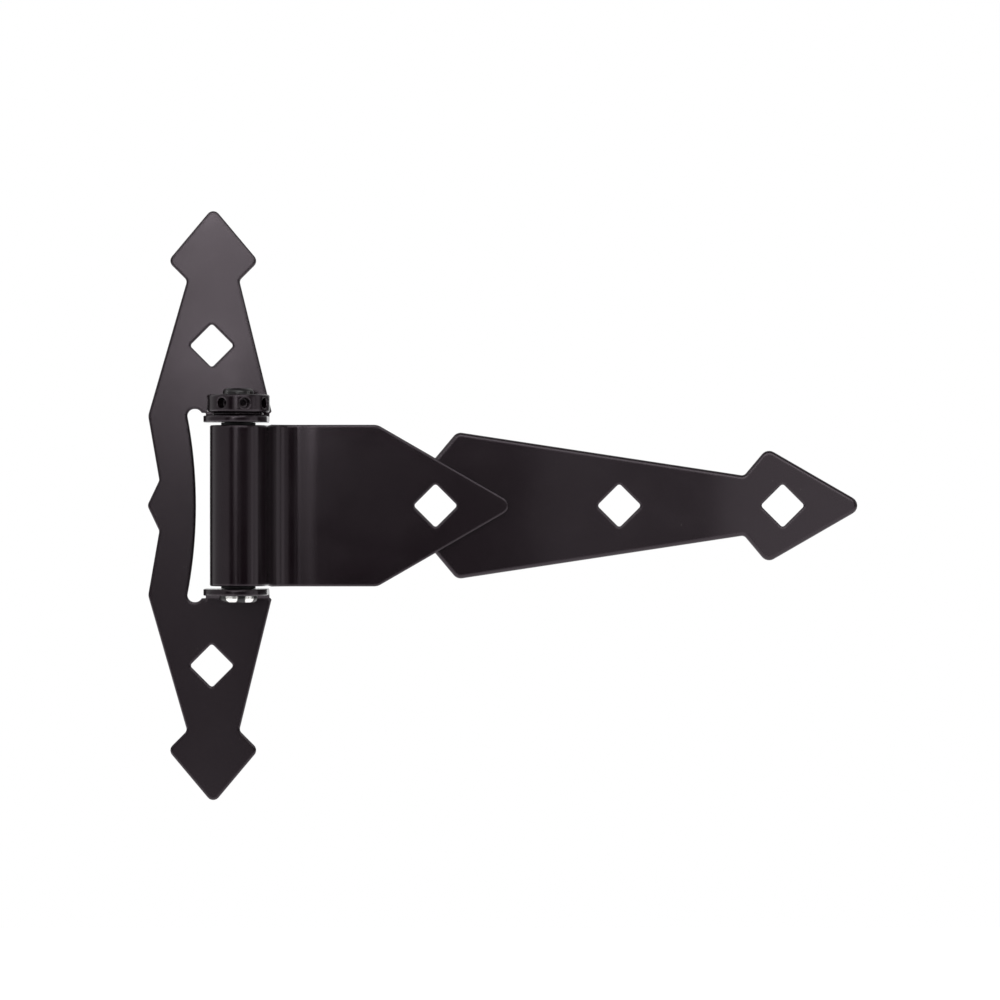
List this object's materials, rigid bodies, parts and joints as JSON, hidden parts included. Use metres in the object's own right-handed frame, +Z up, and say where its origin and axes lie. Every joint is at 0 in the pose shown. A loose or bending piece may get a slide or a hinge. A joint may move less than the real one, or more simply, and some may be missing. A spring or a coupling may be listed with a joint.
{
  "type": "self-closing t hinge",
  "caption": "Gate T hinge: spear-ended post leaf with lugs, rolled barrel strap, long arrow strap, and a spring wound by a collar on the pin.",
  "frame": {"origin": "midway between the two post bolt holes, on the plane of the post's face", "axes": "+X along the strap towards the arrow tip, +Z up along the pin, +Y into the post and the gate, so the front faces -Y"},
  "size_m": [0.2409, 0.0243, 0.2],
  "materials": {
    "black_coat": "satin black powder coat on sheet steel",
    "pin_steel": "bare steel, black coated head",
    "bushing": "black self-lubricating plastic",
    "spring_wire": "oiled spring wire"
  },
  "bodies": {
    "post_leaf": {"jamb_leaf": "black_coat"},
    "gate_strap": {"knuckle_strap": "black_coat", "arrow_strap": "black_coat", "upper_bushing": "bushing", "spring_anchor": "bushing", "torsion_spring": "spring_wire"},
    "adjuster": {"hinge_pin": "pin_steel", "tension_collar": "black_coat", "thrust_washer": "black_coat"}
  },
  "joints": [
    {"name": "gate_swing", "type": "hinge", "parent": "post_leaf", "child": "gate_strap", "pos_m": [0.0098, -0.0135, 0], "axis": [0, 0, -1], "range_deg": [0, 180], "stiffness_Nm_per_rad": 0.25, "springref_deg": -90, "deforming": ["torsion_spring"]},
    {"name": "collar_turn", "type": "hinge", "parent": "post_leaf", "child": "adjuster", "pos_m": [0.0098, -0.0135, 0], "axis": [0, 0, 1], "range_deg": [0, 360]}
  ]
}
